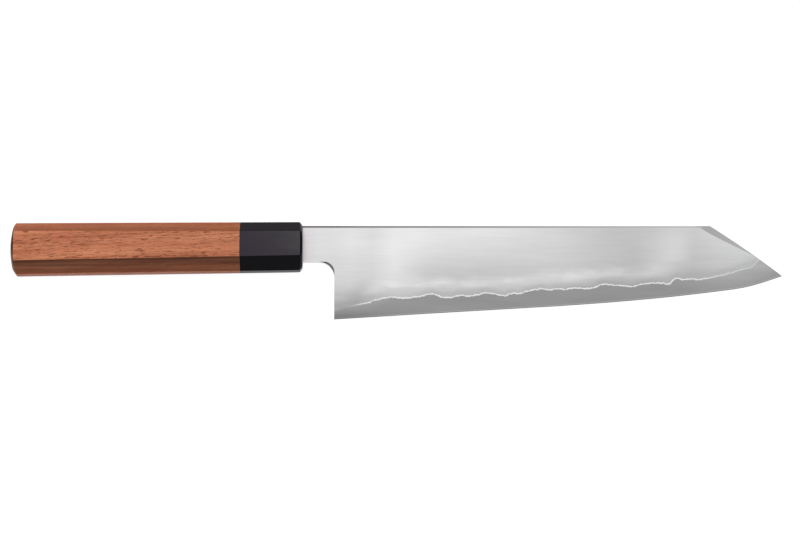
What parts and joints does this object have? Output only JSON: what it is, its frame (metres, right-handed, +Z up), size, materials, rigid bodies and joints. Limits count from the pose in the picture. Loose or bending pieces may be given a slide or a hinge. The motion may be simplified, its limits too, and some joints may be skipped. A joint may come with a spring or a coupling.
{
  "type": "kiritsuke kitchen knife",
  "caption": "Kiritsuke kitchen knife with an angled nose, a forge-welded layered blade, an octagonal wooden handle and a dark ferrule, for slicing and chopping on a board",
  "frame": {"origin": "below the middle of the whole knife, in the plane of the handle's left side flat, on which the knife is laid down", "axes": "+X runs from the butt to the point, +Y is the spine side with the cutting edge towards -Y, and +Z is up, out of the blade's right face"},
  "size_m": [0.3616, 0.046, 0.02],
  "materials": {
    "core_steel": "matte grey, whetstone finish",
    "soft_steel": "satin, brushed along the blade",
    "bedding": "hidden resin",
    "dowel_wood": "plain, hidden",
    "ferrule_black": "polished black horn",
    "handle_wood": "satin red-brown hardwood, open pores along the grain"
  },
  "bodies": {
    "root": {"blade_core": "core_steel", "cladding_right": "soft_steel", "cladding_left": "soft_steel", "tang_bedding": "bedding", "tang_dowel": "dowel_wood", "ferrule": "ferrule_black", "handle_body": "handle_wood"}
  },
  "joints": []
}
